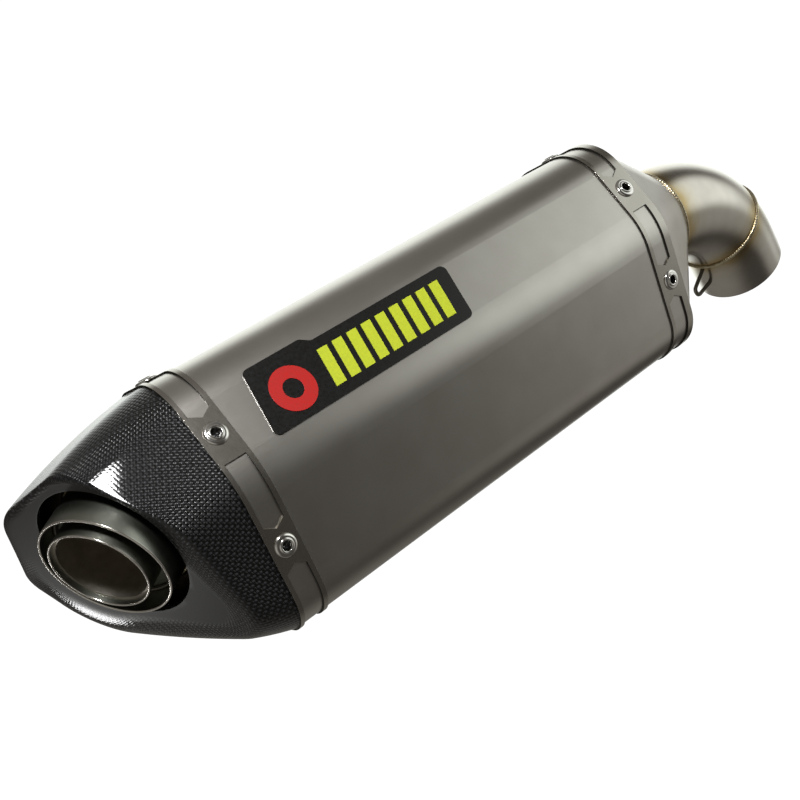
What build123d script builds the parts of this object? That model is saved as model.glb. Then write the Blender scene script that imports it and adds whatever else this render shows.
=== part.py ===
import os
from math import cos, radians, sin, tan

from build123d import *

os.makedirs("parts", exist_ok=True)

# Slip-on racing silencer. +X runs along the sleeve from the outlet to the inlet, +Z is up,
# -Y is the outer side that carries the badge. The origin is the middle of the sleeve, where a
# hanger band holds it. Lengths are in millimetres and angles in degrees.

# Sleeve: a six-sided section with rounded corners, the same along its whole length
body_length = 273.4
body_half_top, body_top, body_top_radius = 28.7, 60.0, 26.9
body_half_mid, body_mid, body_mid_radius = 48.7, 8.4, 37.3
body_half_bottom, body_bottom, body_bottom_radius = 36.8, -60.0, 21.7
sleeve_wall = 1.0
seam_width, seam_height = 2.4, 0.35

# Riveted bands at both ends of the sleeve, with pointed windows over the corners
strap_thickness = 0.9
outlet_strap_width, inlet_strap_width = 14.9, 17.3
window_width, window_edge = 10.4, 2.4
window_gap, window_point = 7.6, 2.9
rivet_head_radius, rivet_head_height = 5.2, 1.5
rivet_shank_radius, rivet_bore_radius = 3.1, 2.2
rivet_tail_radius, rivet_tail_height = 4.1, 1.4
rivet_clearance = 0.08

# Carbon end cap: lofts from the sleeve to a flat nose outline, then cut by a slanted face
nose_distance = 80.0
nose_half_top, nose_top, nose_top_radius = 24.1, 35.8, 11.0
nose_half_mid, nose_mid, nose_mid_radius = 46.8, 9.2, 6.8
nose_half_bottom, nose_bottom, nose_bottom_radius = 41.9, -1.1, 9.9
nose_fullness = 0.37
face_reach, face_yaw, face_pitch = 47.8, 24.5, 14.9
cap_wall, cap_face_wall, cap_skirt = 2.2, 2.4, 13.0
least_radius = 0.5

# Outlet tube, leaving the slanted face at its own angle
outlet_side, outlet_up = -10.8, 7.9
outlet_yaw, outlet_pitch = 26.9, 20.2
tube_radius, tube_wall, tube_proud, tube_length = 28.0, 1.2, 8.0, 36.0
tube_weld_leg = 2.0
cap_hole_gap = 5.4
inner_cap_gap, inner_cap_wall, inner_cap_setback = 1.4, 1.2, 14.0

# Noise insert that pulls out of the outlet tube
insert_proud, insert_lift = 3.0, 1.5
insert_radius, insert_wall, insert_length = 21.2, 1.0, 30.0
core_lip_depth, insert_core_wall, insert_core_length = 3.0, 1.1, 46.0
insert_hole_radius, insert_hole_count, insert_hole_rows, insert_hole_pitch = 2.0, 10, 2, 6.0
insert_flange_depth, insert_flange_thickness, running_clearance = 12.0, 1.5, 0.05
insert_plate_thickness, insert_plate_bore = 1.2, 11.0
clip_wire_radius, clip_opening = 0.8, 50.0

# Inside the sleeve: two bulkheads, the perforated core, its mesh and the packing
bulkhead_wall, bulkhead_flange = 1.2, 8.0
core_radius, core_wall, core_overhang = 25.0, 1.0, 5.0
core_hole_radius, core_hole_count, core_hole_pitch = 2.5, 12, 18.0
mesh_thickness, packing_gap = 1.0, 0.5

# Inlet: cone, two bends of one pipe and the slip-fit end
cone_length, cone_wall, cone_skirt, inlet_height = 38.9, 1.2, 15.0, 4.1
pipe_radius, pipe_wall = 27.4, 1.2
bend_radius, bend_roll, bend_seam, bend_end = 81.4, 20.6, 48.7, 65.3
slip_length = 16.0
weld_radius = 1.3

# Spring hook: bent wire on the inside of the bend
hook_wire_radius, hook_height, hook_foot, hook_tip, hook_bend = 1.25, 13.0, 6.5, 3.0, 2.8
hook_angle = 60.5

# Badge: a thin plate on the upper outer side, with raised enamel shapes
badge_start, badge_length, badge_height, badge_slant = 29.4, 113.8, 28.0, 9.5
badge_tab_height, badge_tab_length, badge_tab_taper = 3.2, 30.0, 5.0
badge_corner, badge_thickness, badge_relief, badge_drop = 3.0, 0.7, 0.3, 32.2
disc_radius, disc_inner_radius, disc_place = 10.5, 4.6, 17.0
bar_start, bar_count, bar_width, bar_gap, bar_height = 35.0, 9, 5.4, 2.8, 18.0

x_outlet = -body_length / 2
x_inlet = body_length / 2


def outline(half_top, top, half_mid, mid, half_bottom, bottom):
    """Corners of the six-sided section, clockwise from the upper right."""
    right = [Vector(half_top, top), Vector(half_mid, mid), Vector(half_bottom, bottom)]
    left = [Vector(-corner.X, corner.Y) for corner in reversed(right)]
    return right + left


def mirrored(top_radius, mid_radius, bottom_radius):
    """One corner radius for each corner of an outline."""
    right = [top_radius, mid_radius, bottom_radius]
    return right + right[::-1]


def inward(start, end):
    """Unit normal of one side of a clockwise outline, pointing inside."""
    side = (end - start).normalized()
    return Vector(side.Y, -side.X)


def inset(section, distance):
    """The same section with every side moved in by a distance."""
    corners, radii = section
    moved = []
    for before, here, after in zip(corners[-1:] + corners[:-1], corners, corners[1:] + corners[:1]):
        first = inward(before, here)
        second = inward(here, after)
        moved.append(here + (first + second) * (distance / (1 + first.dot(second))))
    return moved, [max(radius - distance, least_radius) for radius in radii]


def between(first, second, share):
    """A section part of the way from one section to another."""
    corners = [start + (end - start) * share for start, end in zip(first[0], second[0])]
    radii = [start + (end - start) * share for start, end in zip(first[1], second[1])]
    return corners, radii


def round_section(radius, centre_height, like):
    """A circle drawn with the sides and corners of another section, so that the two loft cleanly."""
    sides = zip(like[0], like[0][1:] + like[0][:1])
    normals = [inward(start, end) * -1 for start, end in sides]
    centre = Vector(0, centre_height)
    corners = []
    for before, after in zip(normals[-1:] + normals[:-1], normals):
        corners.append(centre + (before + after) * (radius / (1 + before.dot(after))))
    return corners, [radius * 0.98] * len(corners)


def draw(plane, section):
    """The face of a section on a plane."""
    with BuildSketch(plane) as sketch:
        with BuildLine():
            FilletPolyline(*section[0], radius=section[1], close=True)
        make_face()
    return sketch.sketch


def station(x):
    return Plane.YZ.offset(x)


def direction(yaw, pitch):
    """A direction out of the outlet, turned outwards by yaw and down by pitch."""
    flat = cos(radians(pitch))
    return Vector(-flat * cos(radians(yaw)), -flat * sin(radians(yaw)), -sin(radians(pitch)))


def save(part, name):
    part.part.label = name
    export_step(part.part, f"parts/{name}.step")


body = (
    outline(body_half_top, body_top, body_half_mid, body_mid, body_half_bottom, body_bottom),
    mirrored(body_top_radius, body_mid_radius, body_bottom_radius),
)
nose = (
    outline(nose_half_top, nose_top, nose_half_mid, nose_mid, nose_half_bottom, nose_bottom),
    mirrored(nose_top_radius, nose_mid_radius, nose_bottom_radius),
)

face_normal = direction(face_yaw, face_pitch)
face_plane = Plane(origin=(x_outlet - face_reach, 0, 0), z_dir=face_normal)

# The outlet axis crosses the slanted face at a chosen side and height
cross_x = face_plane.origin.X - (face_normal.Y * outlet_side + face_normal.Z * outlet_up) / face_normal.X
outlet_axis = direction(outlet_yaw, outlet_pitch)
outlet_level = Vector(sin(radians(outlet_yaw)), -cos(radians(outlet_yaw)), 0)
outlet_plane = Plane(
    origin=Vector(cross_x, outlet_side, outlet_up) + outlet_axis * tube_proud,
    x_dir=outlet_level,
    z_dir=outlet_axis,
)
tube_bore = tube_radius - tube_wall


def flat_stretch(index):
    """The straight part of a side, between its two corner arcs: its middle and its direction."""
    corners, radii = body
    start, end = corners[index], corners[(index + 1) % len(corners)]
    side = end - start
    along = side.normalized()

    def arc_reach(here, before, after, radius):
        turn = (before - here).get_angle(after - here)
        return radius / tan(radians(turn / 2))

    last = (index + 2) % len(corners)
    lead = arc_reach(start, corners[index - 1], end, radii[index])
    trail = arc_reach(end, start, corners[last], radii[(index + 1) % len(corners)])
    return start + along * ((lead + side.length - trail) / 2), along


def rivet_planes(x, height):
    """One plane at each rivet, at a height above the sleeve, with +Z pointing outwards."""
    planes = []
    for index in range(len(body[0])):
        middle, along = flat_stretch(index)
        out = Vector(-along.Y, along.X)
        place = middle + out * height
        planes.append(
            Plane(origin=(x, place.X, place.Y), x_dir=(1, 0, 0), z_dir=(0, out.X, out.Y))
        )
    return planes


def rivet_holes(x, depth):
    """Clearance holes for the rivets of one band, through everything down to a depth."""
    with Locations(*rivet_planes(x, strap_thickness)):
        Cylinder(
            rivet_shank_radius + rivet_clearance,
            depth * 2,
            mode=Mode.SUBTRACT,
        )


def window_tool(index, x):
    """The hexagonal window over one corner of a band."""
    corner = body[0][index]
    before, _ = flat_stretch(index - 1)
    after, _ = flat_stretch(index)
    out = (corner - (before + after) * 0.5).normalized()
    tangent = Vector(out.Y, -out.X)
    spots = []
    for rivet in (before, after):
        lead = (corner - rivet).normalized()
        for reach in (window_gap, window_gap + window_point):
            spots.append((rivet + lead * reach - corner).dot(tangent))
    tip_before, shoulder_before, tip_after, shoulder_after = spots
    half = window_width / 2
    depth = max((corner - rivet).dot(out) for rivet in (before, after))
    plane = Plane(origin=(x, corner.X, corner.Y), x_dir=(0, tangent.X, tangent.Y), z_dir=(0, out.X, out.Y))
    with BuildSketch(plane.offset(strap_thickness * 3)) as window:
        with BuildLine():
            Polyline(
                (tip_before, 0),
                (shoulder_before, half),
                (shoulder_after, half),
                (tip_after, 0),
                (shoulder_after, -half),
                (shoulder_before, -half),
                close=True,
            )
        make_face()
    extrude(window.sketch, amount=-(depth + strap_thickness * 6), mode=Mode.SUBTRACT)


def strap(start, width, window_centre, name):
    """A riveted band around the sleeve."""
    with BuildPart() as band:
        extrude(draw(station(start), inset(body, -strap_thickness)), amount=width)
        extrude(draw(station(start), body), amount=width, mode=Mode.SUBTRACT)
        for index in range(len(body[0])):
            window_tool(index, window_centre)
        rivet_holes(start + width / 2, strap_thickness * 2)
    save(band, name)


def rivets(x, grip, name):
    """Six hollow rivets through the band, the sleeve and the skirt under it."""
    head = rivet_head_height
    with BuildPart() as group:
        for plane in rivet_planes(x, strap_thickness):
            with BuildSketch(Plane(origin=plane.origin, x_dir=plane.x_dir, z_dir=-plane.y_dir)):
                with BuildLine():
                    Polyline(
                        (rivet_bore_radius, head * 0.8),
                        (rivet_bore_radius, -grip - rivet_tail_height),
                        (rivet_tail_radius, -grip - rivet_tail_height),
                        (rivet_tail_radius, -grip),
                        (rivet_shank_radius, -grip),
                        (rivet_shank_radius, 0),
                        (rivet_head_radius, 0),
                        (rivet_head_radius, head * 0.25),
                        (rivet_head_radius * 0.86, head * 0.62),
                        (rivet_head_radius * 0.7, head * 0.75),
                        (rivet_shank_radius * 1.1, head * 0.7),
                        (rivet_shank_radius * 0.98, head),
                        (rivet_bore_radius * 1.1, head),
                        close=True,
                    )
                make_face()
            revolve(axis=Axis(plane.origin, plane.z_dir))
    save(group, name)


# Sleeve with rivet holes at both ends
outlet_rivet_x = x_outlet + outlet_strap_width / 2
inlet_rivet_x = x_inlet - inlet_strap_width / 2
with BuildPart() as outer_sleeve:
    extrude(draw(station(x_outlet), body), amount=body_length)
    bore = draw(station(x_outlet), inset(body, sleeve_wall))
    extrude(bore, amount=body_length, mode=Mode.SUBTRACT)
    rivet_holes(outlet_rivet_x, strap_thickness + sleeve_wall * 2)
    rivet_holes(inlet_rivet_x, strap_thickness + sleeve_wall * 2)
save(outer_sleeve, "outer_sleeve")

# The sleeve is rolled from sheet and welded along the middle of its underside
with BuildPart() as sleeve_seam:
    seam_start = x_outlet + outlet_strap_width
    seam_end = x_inlet - inlet_strap_width
    with BuildSketch(Plane.XY.offset(body_bottom)):
        with Locations(((seam_start + seam_end) / 2, 0)):
            SlotOverall(seam_end - seam_start, seam_width)
    extrude(amount=-seam_height)
save(sleeve_seam, "sleeve_seam_weld")

strap(
    x_outlet,
    outlet_strap_width,
    x_outlet + outlet_strap_width - window_edge - window_width / 2,
    "outlet_strap",
)
strap(
    x_inlet - inlet_strap_width,
    inlet_strap_width,
    x_inlet - inlet_strap_width + window_edge + window_width / 2,
    "inlet_strap",
)
rivets(outlet_rivet_x, strap_thickness + sleeve_wall + cap_wall, "outlet_rivets")
rivets(inlet_rivet_x, strap_thickness + sleeve_wall + cone_wall, "inlet_rivets")


def nose_loft(distance, setback, name):
    """The end cap's solid shape with its walls and its slanted face moved inwards."""
    with BuildPart() as shape:
        faces = []
        for share, reach in ((0, 0), (nose_fullness, 0.5), (1, 1)):
            section = inset(between(body, nose, share), distance)
            faces.append(draw(station(x_outlet - nose_distance * reach), section).face())
        loft(faces)
        split(bisect_by=face_plane.offset(-setback), keep=Keep.BOTTOM)
    shape.part.label = name
    return shape


# Carbon cap: a thin shell with a skirt that slips inside the sleeve
cap_shape = nose_loft(0, 0, "cap_shape")
cap_space = nose_loft(cap_wall, cap_face_wall, "cap_space")
skirt_outside = inset(body, sleeve_wall)
skirt_inside = inset(body, sleeve_wall + cap_wall)
with BuildPart() as carbon_cap:
    add(cap_shape.part)
    add(cap_space.part, mode=Mode.SUBTRACT)
    extrude(draw(station(x_outlet), skirt_outside), amount=cap_skirt)
    mouth = draw(station(x_outlet - cap_wall), skirt_inside)
    extrude(mouth, amount=cap_wall + cap_skirt, mode=Mode.SUBTRACT)
    with BuildSketch(outlet_plane):
        Circle(tube_radius + cap_hole_gap)
    extrude(amount=-(tube_proud + inner_cap_setback), mode=Mode.SUBTRACT)
    rivet_holes(outlet_rivet_x, strap_thickness + sleeve_wall + cap_wall * 2)
save(carbon_cap, "carbon_cap")

# Metal inner cap behind the carbon face; it holds the outlet tube
inner_inset = sleeve_wall + cap_wall + inner_cap_gap
inner_outside = nose_loft(inner_inset, inner_cap_setback, "inner_outside")
inner_space = nose_loft(inner_inset + inner_cap_wall, inner_cap_setback + inner_cap_wall, "inner_space")
with BuildPart() as outlet_inner_cap:
    add(inner_outside.part)
    extrude(draw(station(x_outlet), inset(body, inner_inset)), amount=cap_skirt)
    add(inner_space.part, mode=Mode.SUBTRACT)
    mouth = draw(station(x_outlet), inset(body, inner_inset + inner_cap_wall))
    extrude(mouth, amount=cap_skirt, mode=Mode.SUBTRACT)
    with BuildSketch(outlet_plane):
        Circle(tube_radius)
    extrude(amount=-tube_length, mode=Mode.SUBTRACT)
save(outlet_inner_cap, "outlet_inner_cap")

with BuildPart() as outlet_tube:
    with BuildSketch(outlet_plane):
        Circle(tube_radius)
        Circle(tube_bore, mode=Mode.SUBTRACT)
    extrude(amount=-tube_length)
save(outlet_tube, "outlet_tube")

# Weld fillet where the tube meets the inner cap
tube_axis = Axis(outlet_plane.origin, outlet_axis)
inner_face = face_plane.offset(-inner_cap_setback)
with BuildPart() as outlet_tube_weld:
    with BuildSketch(outlet_plane):
        Circle(tube_radius + tube_weld_leg)
        Circle(tube_radius, mode=Mode.SUBTRACT)
    extrude(amount=-tube_length)
    split(bisect_by=inner_face, keep=Keep.TOP)
    split(bisect_by=inner_face.offset(tube_weld_leg), keep=Keep.BOTTOM)
    outer_edges = outlet_tube_weld.edges().sort_by(SortBy.LENGTH)[-2:]
    chamfer(outer_edges.sort_by(Axis(inner_face.origin, face_normal))[-1], length=tube_weld_leg * 0.7)
save(outlet_tube_weld, "outlet_tube_weld")

# Noise insert: an outer tube, a perforated core a little deeper, a flange and a snap clip
insert_plane = Plane(
    origin=outlet_plane.origin + outlet_plane.y_dir * insert_lift + outlet_axis * insert_proud,
    x_dir=outlet_level,
    z_dir=outlet_axis,
)
insert_core_radius = insert_radius - insert_wall
with BuildPart() as noise_insert_tube:
    with BuildSketch(insert_plane):
        Circle(insert_radius)
        Circle(insert_core_radius, mode=Mode.SUBTRACT)
    extrude(amount=-insert_length)
save(noise_insert_tube, "noise_insert_tube")

with BuildPart() as noise_insert_core:
    with BuildSketch(insert_plane.offset(-core_lip_depth)):
        Circle(insert_core_radius)
        Circle(insert_core_radius - insert_core_wall, mode=Mode.SUBTRACT)
    extrude(amount=-insert_core_length)
    first_row = insert_length + insert_hole_pitch * 0.6
    rows = [insert_plane.offset(-first_row - insert_hole_pitch * row) for row in range(insert_hole_rows)]
    with Locations(*rows):
        with PolarLocations(insert_core_radius, insert_hole_count):
            Cylinder(
                insert_hole_radius,
                insert_core_wall * 6,
                rotation=(0, 90, 0),
                mode=Mode.SUBTRACT,
            )
save(noise_insert_core, "noise_insert_core")

with BuildPart() as noise_insert_plate:
    with BuildSketch(insert_plane.offset(-core_lip_depth - insert_core_length)):
        Circle(insert_core_radius)
        Circle(insert_plate_bore, mode=Mode.SUBTRACT)
    extrude(amount=-insert_plate_thickness)
save(noise_insert_plate, "noise_insert_plate")

flange_plane = outlet_plane.offset(-insert_flange_depth)
flange_radius = tube_bore - running_clearance
with BuildPart() as noise_insert_flange:
    with BuildSketch(flange_plane):
        Circle(flange_radius)
        with Locations((0, insert_lift)):
            Circle(insert_radius, mode=Mode.SUBTRACT)
    extrude(amount=-insert_flange_thickness)
save(noise_insert_flange, "noise_insert_flange")

clip_centre_radius = flange_radius - clip_wire_radius
with BuildPart() as noise_insert_clip:
    clip_plane = flange_plane.offset(clip_wire_radius)
    with BuildSketch(Plane(origin=clip_plane.origin, x_dir=outlet_level, z_dir=outlet_plane.y_dir)):
        with Locations((clip_centre_radius, 0)):
            Circle(clip_wire_radius)
    revolve(axis=tube_axis, revolution_arc=360 - clip_opening)
save(noise_insert_clip, "noise_insert_clip")


def bulkhead(face_x, side, name):
    """A pressed cup that closes one end of the packed chamber, with a hole for the core."""
    outside = inset(body, sleeve_wall)
    inside = inset(body, sleeve_wall + bulkhead_wall)
    with BuildPart() as cup:
        extrude(draw(station(face_x), outside), amount=side * bulkhead_flange)
        pocket = draw(station(face_x + side * bulkhead_wall), inside)
        extrude(pocket, amount=side * bulkhead_flange, mode=Mode.SUBTRACT)
        with BuildSketch(station(face_x)):
            with Locations((0, inlet_height)):
                Circle(core_radius)
        extrude(amount=side * bulkhead_wall, mode=Mode.SUBTRACT)
    save(cup, name)


outlet_bulkhead_x = x_outlet + cap_skirt
inlet_bulkhead_x = x_inlet - cone_skirt
bulkhead(outlet_bulkhead_x, 1, "outlet_bulkhead")
bulkhead(inlet_bulkhead_x, -1, "inlet_bulkhead")

core_start = outlet_bulkhead_x - core_overhang
core_end = inlet_bulkhead_x + core_overhang
hole_span = inlet_bulkhead_x - outlet_bulkhead_x - core_hole_pitch * 2
hole_rows = int(hole_span / core_hole_pitch) + 1
with BuildPart() as perforated_core:
    with BuildSketch(station(core_start)):
        with Locations((0, inlet_height)):
            Circle(core_radius)
            Circle(core_radius - core_wall, mode=Mode.SUBTRACT)
    extrude(amount=core_end - core_start)
    middle = Plane(
        origin=((outlet_bulkhead_x + inlet_bulkhead_x) / 2, 0, inlet_height),
        x_dir=(0, 1, 0),
        z_dir=(1, 0, 0),
    )
    rows = [middle.offset((row - (hole_rows - 1) / 2) * core_hole_pitch) for row in range(hole_rows)]
    with Locations(*rows):
        with PolarLocations(core_radius, core_hole_count):
            Cylinder(core_hole_radius, core_wall * 6, rotation=(0, 90, 0), mode=Mode.SUBTRACT)
save(perforated_core, "perforated_core")

chamber_start = outlet_bulkhead_x + bulkhead_wall
chamber_end = inlet_bulkhead_x - bulkhead_wall
with BuildPart() as core_mesh_wrap:
    with BuildSketch(station(chamber_start)):
        with Locations((0, inlet_height)):
            Circle(core_radius + mesh_thickness)
            Circle(core_radius, mode=Mode.SUBTRACT)
    extrude(amount=chamber_end - chamber_start)
save(core_mesh_wrap, "core_mesh_wrap")

with BuildPart() as packing_wool:
    wool = draw(station(chamber_start), inset(body, sleeve_wall + bulkhead_wall + packing_gap))
    extrude(wool, amount=chamber_end - chamber_start)
    with BuildSketch(station(chamber_start)):
        with Locations((0, inlet_height)):
            Circle(core_radius + mesh_thickness)
    extrude(amount=chamber_end - chamber_start, mode=Mode.SUBTRACT)
save(packing_wool, "packing_wool")

# Inlet cone: from the sleeve's section to the round pipe
cone_end = x_inlet + cone_length
cone_section = inset(body, sleeve_wall)
cone_inner_section = inset(body, sleeve_wall + cone_wall)
with BuildPart() as cone_outside:
    wide = draw(station(x_inlet), cone_section)
    narrow = draw(station(cone_end), round_section(pipe_radius, inlet_height, body))
    loft([wide.face(), narrow.face()], ruled=True)
    extrude(draw(station(x_inlet - cone_skirt), cone_section), amount=cone_skirt)
with BuildPart() as cone_space:
    wide = draw(station(x_inlet), cone_inner_section)
    narrow = draw(station(cone_end), round_section(pipe_radius - cone_wall, inlet_height, body))
    loft([wide.face(), narrow.face()], ruled=True)
    extrude(draw(station(x_inlet - cone_skirt), cone_inner_section), amount=cone_skirt)
with BuildPart() as inlet_cone:
    add(cone_outside.part)
    add(cone_space.part, mode=Mode.SUBTRACT)
    rivet_holes(inlet_rivet_x, strap_thickness + sleeve_wall + cone_wall * 2)
save(inlet_cone, "inlet_cone")

# The pipe bends down and a little inwards from the end of the cone
bend_start = Vector(cone_end, 0, inlet_height)
bend_towards = Vector(0, sin(radians(bend_roll)), -cos(radians(bend_roll)))
bend_centre = bend_start + bend_towards * bend_radius
bend_axis = Vector(1, 0, 0).cross(bend_towards)


def pipe_plane(angle):
    """The plane across the pipe at an angle round the bend, with +Z down the pipe."""
    along = Vector(cos(radians(angle)), 0, 0) + bend_towards * sin(radians(angle))
    inner = Vector(-sin(radians(angle)), 0, 0) + bend_towards * cos(radians(angle))
    return Plane(origin=bend_centre - inner * bend_radius, x_dir=inner, z_dir=along)


def pipe_bend(start, end, radius, bore=None):
    """A stretch of the bend, solid or with a bore, in the part being built."""
    with BuildSketch(pipe_plane(start)) as across:
        Circle(radius)
        if bore:
            Circle(bore, mode=Mode.SUBTRACT)
    revolve(across.sketch, axis=Axis(bend_centre, bend_axis), revolution_arc=end - start)


def bead(angle, name, neighbours):
    """A round weld bead about the pipe, trimmed to the surfaces it joins."""
    across = pipe_plane(angle)
    with BuildPart() as ring:
        with BuildSketch(Plane(origin=across.origin, x_dir=across.x_dir, z_dir=across.y_dir)):
            with Locations((pipe_radius, 0)):
                Circle(weld_radius)
        revolve(axis=Axis(across.origin, across.z_dir))
        for neighbour in neighbours:
            add(neighbour.part, mode=Mode.SUBTRACT)
    save(ring, name)


pipe_bore = pipe_radius - pipe_wall
with BuildPart() as pipe_solid:
    pipe_bend(0, bend_end, pipe_radius)
    with BuildSketch(pipe_plane(bend_end)):
        Circle(pipe_radius)
    extrude(amount=slip_length)
with BuildPart() as inlet_elbow:
    pipe_bend(0, bend_seam, pipe_radius, pipe_bore)
save(inlet_elbow, "inlet_elbow")

with BuildPart() as slip_fit_elbow:
    pipe_bend(bend_seam, bend_end, pipe_radius, pipe_bore)
    with BuildSketch(pipe_plane(bend_end)):
        Circle(pipe_radius)
        Circle(pipe_bore, mode=Mode.SUBTRACT)
    extrude(amount=slip_length)
save(slip_fit_elbow, "slip_fit_elbow")

bead(0, "cone_weld", [cone_outside, pipe_solid])
bead(bend_seam, "elbow_weld", [pipe_solid])

# Spring hook: a wire loop whose feet stand on the inside of the bend
hook_across = pipe_plane(hook_angle)
hook_foot_depth = pipe_radius - pipe_wall
hook_plane = Plane(origin=hook_across.origin, x_dir=hook_across.z_dir, z_dir=hook_across.y_dir)
with BuildPart() as spring_hook:
    crown = pipe_radius + hook_height
    with BuildLine(hook_plane) as hook_path:
        FilletPolyline(
            (-hook_foot, hook_foot_depth),
            (-hook_tip, crown),
            (hook_tip, crown),
            (hook_foot, hook_foot_depth),
            radius=hook_bend,
        )
    with BuildSketch(Plane(origin=hook_path.line @ 0, z_dir=hook_path.line % 0)):
        Circle(hook_wire_radius)
    sweep(path=hook_path.line)
    add(pipe_solid.part, mode=Mode.SUBTRACT)
save(spring_hook, "spring_hook")

# Badge on the upper outer side of the sleeve
outer_top_corner = body[0][5]
_, side_up = flat_stretch(4)
badge_middle = outer_top_corner - side_up * badge_drop
badge_plane = Plane(
    origin=(x_outlet + badge_start, badge_middle.X, badge_middle.Y),
    x_dir=(1, 0, 0),
    z_dir=(0, -side_up.Y, side_up.X),
)
badge_depth = 12.0


def slanted(along, up):
    """A point on the badge, leaning towards the inlet with height."""
    return (along + up * tan(radians(badge_slant)), up)


def sleeve_skin(bottom, top):
    """A thin skin around the sleeve between two heights above it, in the part being built."""
    extrude(draw(station(x_outlet), inset(body, -top)), amount=body_length)
    core = draw(station(x_outlet), inset(body, -bottom))
    extrude(core, amount=body_length, mode=Mode.SUBTRACT)


half_height = badge_height / 2
tab_top = half_height + badge_tab_height
with BuildPart() as badge_plate:
    sleeve_skin(0, badge_thickness)
    with BuildSketch(badge_plane.offset(badge_thickness * 2)):
        with BuildLine():
            FilletPolyline(
                slanted(0, -half_height),
                slanted(badge_length, -half_height),
                slanted(badge_length, half_height),
                slanted(badge_tab_length + badge_tab_taper, half_height),
                slanted(badge_tab_length, tab_top),
                slanted(0, tab_top),
                radius=badge_corner,
                close=True,
            )
        make_face()
    extrude(amount=-badge_depth, mode=Mode.INTERSECT)
save(badge_plate, "badge_plate")

with BuildPart() as badge_disc:
    sleeve_skin(badge_thickness, badge_thickness + badge_relief)
    with BuildSketch(badge_plane.offset(badge_thickness * 2)):
        with Locations((disc_place, 0)):
            Circle(disc_radius)
            Circle(disc_inner_radius, mode=Mode.SUBTRACT)
    extrude(amount=-badge_depth, mode=Mode.INTERSECT)
save(badge_disc, "badge_disc")

with BuildPart() as badge_bars:
    sleeve_skin(badge_thickness, badge_thickness + badge_relief)
    with BuildSketch(badge_plane.offset(badge_thickness * 2)):
        for bar in range(bar_count):
            left = bar_start + bar * (bar_width + bar_gap)
            with BuildLine():
                Polyline(
                    slanted(left, -bar_height / 2),
                    slanted(left + bar_width, -bar_height / 2),
                    slanted(left + bar_width, bar_height / 2),
                    slanted(left, bar_height / 2),
                    close=True,
                )
            make_face()
    extrude(amount=-badge_depth, mode=Mode.INTERSECT)
save(badge_bars, "badge_bars")
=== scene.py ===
import math
import bpy
import bmesh
from mathutils import Matrix, Vector


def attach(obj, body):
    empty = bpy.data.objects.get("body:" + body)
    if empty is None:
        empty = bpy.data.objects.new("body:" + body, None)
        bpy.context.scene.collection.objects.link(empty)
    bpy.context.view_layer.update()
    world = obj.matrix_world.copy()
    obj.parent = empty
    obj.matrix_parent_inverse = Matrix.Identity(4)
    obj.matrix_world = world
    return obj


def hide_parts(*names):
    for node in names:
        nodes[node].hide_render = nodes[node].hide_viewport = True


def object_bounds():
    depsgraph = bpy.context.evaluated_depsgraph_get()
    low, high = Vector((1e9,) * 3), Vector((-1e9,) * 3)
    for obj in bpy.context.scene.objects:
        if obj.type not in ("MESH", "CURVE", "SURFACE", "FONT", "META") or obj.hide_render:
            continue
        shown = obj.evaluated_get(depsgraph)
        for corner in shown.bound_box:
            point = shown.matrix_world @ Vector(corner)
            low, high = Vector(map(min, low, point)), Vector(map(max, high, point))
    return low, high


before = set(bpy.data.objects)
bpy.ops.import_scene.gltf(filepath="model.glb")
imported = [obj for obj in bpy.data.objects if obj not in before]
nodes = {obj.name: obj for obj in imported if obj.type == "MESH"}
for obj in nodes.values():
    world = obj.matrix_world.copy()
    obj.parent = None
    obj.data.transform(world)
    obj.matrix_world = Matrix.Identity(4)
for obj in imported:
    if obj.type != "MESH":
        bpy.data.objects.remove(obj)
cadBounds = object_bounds()
scene = bpy.context.scene
mm = 0.001
sharpAngle = math.radians(50)  # two faces that meet at more than this keep a hard edge


# colours and node trees

def hexColour(text):
    # sRGB hex to the linear values that sockets take
    channels = [int(text[i:i + 2], 16) / 255 for i in (1, 3, 5)]
    return tuple(c / 12.92 if c < 0.04045 else ((c + 0.055) / 1.055) ** 2.4 for c in channels) + (1.0,)


def setSockets(tree, node, sockets):
    # each socket is linked to another node's output, or set to a value
    for name, value in sockets.items():
        if isinstance(value, bpy.types.NodeSocket):
            tree.links.new(value, node.inputs[name])
        else:
            node.inputs[name].default_value = value


def addNode(tree, kind, sockets=None, **settings):
    node = tree.nodes.new(kind)
    for name, value in settings.items():
        setattr(node, name, value)
    setSockets(tree, node, sockets or {})
    return node


def fillRamp(ramp, stops):
    # stops are (place, hex colour), in order
    elements = ramp.color_ramp.elements
    while len(elements) > 1:
        elements.remove(elements[-1])
    for i, (place, colour) in enumerate(stops):
        element = elements[0] if i == 0 else elements.new(place)
        element.position = place
        element.color = hexColour(colour)


# camera

camera = {
    "place": (-0.266584, -0.427302, 0.064215),
    "right": (0.71320, -0.52635, -0.46292),
    "up": (0.52263, -0.04079, 0.85158),
    "lens": 45.51,
    "sensor": 36,
    "shift": (-0.0535, 0.1285),
    "nearest": 0.01,
}


def addCamera():
    data = bpy.data.cameras.new("viewCamera")
    data.lens = camera["lens"]
    data.sensor_width = camera["sensor"]
    data.shift_x, data.shift_y = camera["shift"]
    data.clip_start = camera["nearest"]
    right, up = Vector(camera["right"]), Vector(camera["up"])
    holder = bpy.data.objects.new("viewCamera", data)
    turned = Matrix((right, up, right.cross(up))).transposed().to_4x4()
    holder.matrix_world = Matrix.Translation(camera["place"]) @ turned
    scene.collection.objects.link(holder)
    scene.camera = holder


# studio: soft boxes in the world, two small lamps and a front fill, and a floor that curves up all round

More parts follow.
